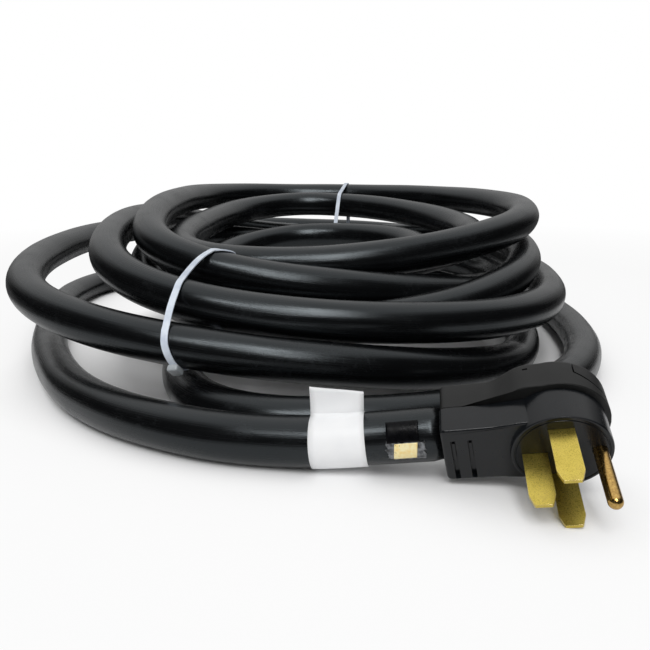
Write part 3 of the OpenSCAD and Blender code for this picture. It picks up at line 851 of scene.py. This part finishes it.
def makeStrap(points, side, out):
    wide, thick = frontTie["width"] / 2 * mm, frontTie["thick"] / 2 * mm
    corners = ((-wide, -thick), (wide, -thick), (wide, thick), (-wide, thick))
    verts = [p + w * s + t * o for p, s, o in zip(points, side, out) for w, t in corners]
    faces = []
    for i in range(len(points)):
        here, there = 4 * i, 4 * ((i + 1) % len(points))
        faces += [(here + j, here + (j + 1) % 4, there + (j + 1) % 4, there + j) for j in range(4)]
    strap = addObject("frontTieStrap", verts, faces, "tie_nylon")
    breakEdges(strap, frontTie["edge"])
    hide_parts("front_tie_strap")


def makeTieHead(place, ahead, side, out):
    long, wide, high = (v / 2 * mm for v in frontTie["head"])
    middle = place + frontTie["headLift"] * mm * out
    verts = [middle + a * long * ahead + b * wide * side + c * high * out
             for a in (-1, 1) for b in (-1, 1) for c in (-1, 1)]
    faces = [(0, 1, 3, 2), (4, 6, 7, 5), (0, 4, 5, 1), (2, 3, 7, 6), (0, 2, 6, 4), (1, 5, 7, 3)]
    head = addObject("frontTieHead", verts, faces, "tie_nylon")
    # The head takes the darker nylon: painted shade.
    head.data.materials[0] = shadedHeadNylon
    breakEdges(head, frontTie["headEdge"])
    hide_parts("front_tie_head")


makeFrontTie()
print("front tie made")


# Inside the plug the CAD solids stay, with the finishes above.
insideSlots = {
    "blade_carrier": "carrier_plastic", "hot_lead_upper": "insulation_black",
    "hot_lead_lower": "insulation_red", "neutral_lead": "insulation_white",
    "ground_lead": "insulation_green"}
for node, slotName in insideSlots.items():
    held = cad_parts[node]
    held.data.materials.clear()
    held.data.materials.append(finishes[slotName])

# Stripped conductors past the end of the jacket, each with a bundle of copper strands.
stripped = {
    "length": 62 * mm,
    "bare": 16 * mm,
    "pair": 4.4 * mm,
    "diameter": 6.4 * mm,
    "groundDiameter": 5.4 * mm,
    "spread": 1.35,
    "lift": 0.2 * mm,
    "steps": 24,
    "sides": 20,
    "endRound": 0.3 * mm,
    "strands": 7,                 # one in the middle and the rest round it, three across
    "copperShare": 0.62,
    "strandsClose": 0.98,
    "strandSides": 10,
    "twist": 30 * mm,
}
endWay = coilHeading(coil["span"][1])
endSide = unit(np.cross(endWay, (0, 0, 1)))
endUp = np.cross(endSide, endWay)


def pastEnd(across, up, s):
    eased = (1 - math.cos(math.pi * max(0.0, min(1.0, s / stripped["length"])))) / 2
    wider = (stripped["spread"] - 1) * eased
    rise = up + math.copysign(stripped["lift"] * wider, up)
    return coilEnd + s * endWay + across * (1 + wider) * endSide + rise * endUp


def makeCover(name, slotName, across, up, diameter):
    steps, bareFrom = stripped["steps"], stripped["length"] - stripped["bare"]
    points = np.array([pastEnd(across, up, s) for s in np.linspace(0, bareFrom, steps)])
    radii = np.full((steps, stripped["sides"]), diameter / 2)
    radii[-1] -= stripped["endRound"]
    return tubeMesh(name, points, radii, stripped["sides"], slotName)


def makeStrand(across, up, radius, number):
    steps, bareFrom = stripped["steps"], stripped["length"] - stripped["bare"]
    fromMiddle = 2 * radius * stripped["strandsClose"] if number else 0
    points = []
    for s in np.linspace(bareFrom, stripped["length"], steps):
        a = 2 * math.pi * (number / (stripped["strands"] - 1) + (s - bareFrom) / stripped["twist"])
        points.append(pastEnd(across, up, s) + fromMiddle * (math.cos(a) * endSide + math.sin(a) * endUp))
    radii = np.full((steps, stripped["strandSides"]), radius)
    return tubeMesh("strand", np.array(points), radii, stripped["strandSides"], "copper")


def makeConductor(cover, copper, slotName, across, up, diameter):
    coverPiece = makeCover(cover[0], slotName, across, up, diameter)
    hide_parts(cover[1])
    radius = diameter * stripped["copperShare"] / 2 / 3
    strands = [makeStrand(across, up, radius, k) for k in range(stripped["strands"])]
    joined = bmesh.new()
    for strand in strands:
        joined.from_mesh(strand.data)
    bundle = strands[0]
    joined.to_mesh(bundle.data)
    joined.free()
    bundle.data.shade_smooth()
    bundle.name = copper[0]
    for strand in strands[1:]:
        bpy.data.objects.remove(strand)
    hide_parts(copper[1])
    return [coverPiece, bundle]


pair, width = stripped["pair"], stripped["diameter"]
endPieces = []
endPieces += makeConductor(("strippedBlack", "stripped_hot_black"), ("copperBlack", "copper_hot_black"),
                           "insulation_black", -pair, pair, width)
endPieces += makeConductor(("strippedRed", "stripped_hot_red"), ("copperRed", "copper_hot_red"),
                           "insulation_red", pair, pair, width)
endPieces += makeConductor(("strippedWhite", "stripped_neutral_white"), ("copperWhite", "copper_neutral"),
                           "insulation_white", -pair, -pair, width)
endPieces += makeConductor(("strippedGreen", "stripped_ground_green"), ("copperGreen", "copper_ground"),
                           "insulation_green", pair, -pair, stripped["groundDiameter"])
print("conductors made")


# Floor, lights and background.
stageSetup = {
    "middle": (-0.1, 0.25, 0),
    "floor": ((0.93, 0.93, 0.935), (0.95, 0.95, 0.952)),
    "floorSize": 8.0,
    "floorNoise": (9.0, 2.0),
    "floorRoughness": 0.6,
    "floorGloss": 0.2,
    "whiteFrom": (0.75, 1.6),     # distance at which the floor fades into the background
    "tableGlow": 0.85,            # share of white that the camera sees in the open floor
    "paintedShadeClearness": (0.3, 0.9),      # painted shade: the camera's white fades out where the floor is this little clear of the object
    "paintedShadeWithin": 0.07,
    "paintedShadeSamples": 8,
    "coilShadePlace": (-0.12, 0.31, 0),
    "coilShadeReach": (0.2, 0.25),     # inside this oval the floor gets no white from the camera: painted shade under the coil
    "coilShadeFade": (0.85, 1.2),
    "tableEdge": (0.42, 0.56),    # past this, polished surfaces see a dark floor
    "tableEdgeDark": 0.9,
    "skyForSurfaces": 0.42,
    "skyInGloss": (0.04, 1.0),    # what polished surfaces see ahead of the object, and above it
    "skyTurn": (0.2, 0.62),
    "skyBack": 0.9,
    "skySide": 0.5,
    "backInGloss": 0.4,           # and low down behind it
    "backHeights": (0.15, 0.85),
    "away": 4.0,
    "lamps": {                    # each soft box: power, size, way round from the front and height
        "softbox": (64.0, (0.95, 2.6), 0.0, 50.0),
        "sideSoftbox": (20.0, (0.7, 0.75), -25.0, 50.0),
    },
}


def makeFloor():
    half = stageSetup["floorSize"] / 2
    mesh = bpy.data.meshes.new("floor")
    mesh.from_pydata([(-half, -half, 0), (half, -half, 0), (half, half, 0), (-half, half, 0)], [],
                     [(0, 1, 2, 3)])
    floor = bpy.data.objects.new("floor", mesh)
    scene.collection.objects.link(floor)
    made = Shader("pale floor")
    place = made.place()
    fromMiddle = made.reach(place, stageSetup["middle"])
    # Painted shade: ambient occlusion takes the camera's white off the floor next to the object, darkening
    # its contact shadows and the floor between strands.
    clear = made.add("ShaderNodeAmbientOcclusion", {"samples": stageSetup["paintedShadeSamples"]},
                     {"Distance": stageSetup["paintedShadeWithin"]}, output="AO")
    # Painted shade: inside an oval round the coil the camera's white is left off, so the floor there shows
    # darker.
    across, along = (1 / r for r in stageSetup["coilShadeReach"])
    fromCoil = made.reach(place, stageSetup["coilShadePlace"], (across, along, 0))
    outsideCoilShade = made.span(fromCoil, *stageSetup["coilShadeFade"])
    glowLessPaintedShade = made.span(clear, *stageSetup["paintedShadeClearness"], 0.0, stageSetup["tableGlow"]) * outsideCoilShade
    tone = made.mix(made.noise(place, *stageSetup["floorNoise"]), *stageSetup["floor"])
    dark = made.span(fromMiddle, *stageSetup["tableEdge"], 0.0, stageSetup["tableEdgeDark"])
    tone = made.mix(dark * made.rayIs("Glossy"), tone, (0.0, 0.0, 0.0))
    paint = made.add("ShaderNodeBsdfPrincipled", None,
                     {"Base Color": tone, "Roughness": stageSetup["floorRoughness"],
                      "Specular IOR Level": stageSetup["floorGloss"]})
    white = made.add("ShaderNodeEmission", None, {"Color": (1.0, 1.0, 1.0), "Strength": 1.0})
    near = 1 - made.span(fromMiddle, *stageSetup["whiteFrom"])
    fade = (1 - near * (1 - glowLessPaintedShade)) * made.rayIs("Camera")
    both = made.add("ShaderNodeMixShader", None, {0: fade, 1: paint, 2: white})
    made.add("ShaderNodeOutputMaterial", None, {"Surface": both})
    mesh.materials.append(made.owner)


def makeSky():
    sky = Shader("sky", bpy.data.worlds.new("sky"))
    scene.world = sky.owner
    camera, gloss, through = (sky.rayIs(name) for name in ("Camera", "Glossy", "Transmission"))
    way = sky.add("ShaderNodeTexCoord", output="Generated")
    aside, back, height = (sky.add("ShaderNodeSeparateXYZ", None, {"Vector": way}, output=axis)
                           for axis in "XYZ")
    aside = sky.add("ShaderNodeMath", {"operation": "ABSOLUTE"}, {0: aside})
    overhead = height + back * stageSetup["skyBack"] - aside * stageSetup["skySide"]
    room = sky.span(overhead, *stageSetup["skyTurn"], *stageSetup["skyInGloss"])
    room = room * sky.span(height, *stageSetup["backHeights"], stageSetup["backInGloss"], 1.0)
    mirrored = gloss + through
    strength = camera + mirrored * room + (1 - camera - mirrored) * stageSetup["skyForSurfaces"]
    plain = sky.add("ShaderNodeBackground", None, {"Color": (1.0, 1.0, 1.0), "Strength": strength})
    sky.add("ShaderNodeOutputWorld", None, {"Surface": plain})


def makeLamps():
    for name, (power, size, aside, height) in stageSetup["lamps"].items():
        lamp = bpy.data.lights.new(name, "AREA")
        lamp.shape = "RECTANGLE"
        lamp.energy = power
        lamp.size, lamp.size_y = size
        softbox = bpy.data.objects.new(name, lamp)
        aside, height = math.radians(aside), math.radians(height)
        way = Vector((math.sin(aside) * math.cos(height), -math.cos(aside) * math.cos(height),
                      math.sin(height)))
        softbox.location = Vector(stageSetup["middle"]) + stageSetup["away"] * way
        softbox.rotation_euler = (math.pi / 2 - height, 0, aside)
        softbox.visible_camera = False
        scene.collection.objects.link(softbox)


makeFloor()
makeSky()
makeLamps()
scene.view_settings.view_transform = "Standard"
print("stage made")
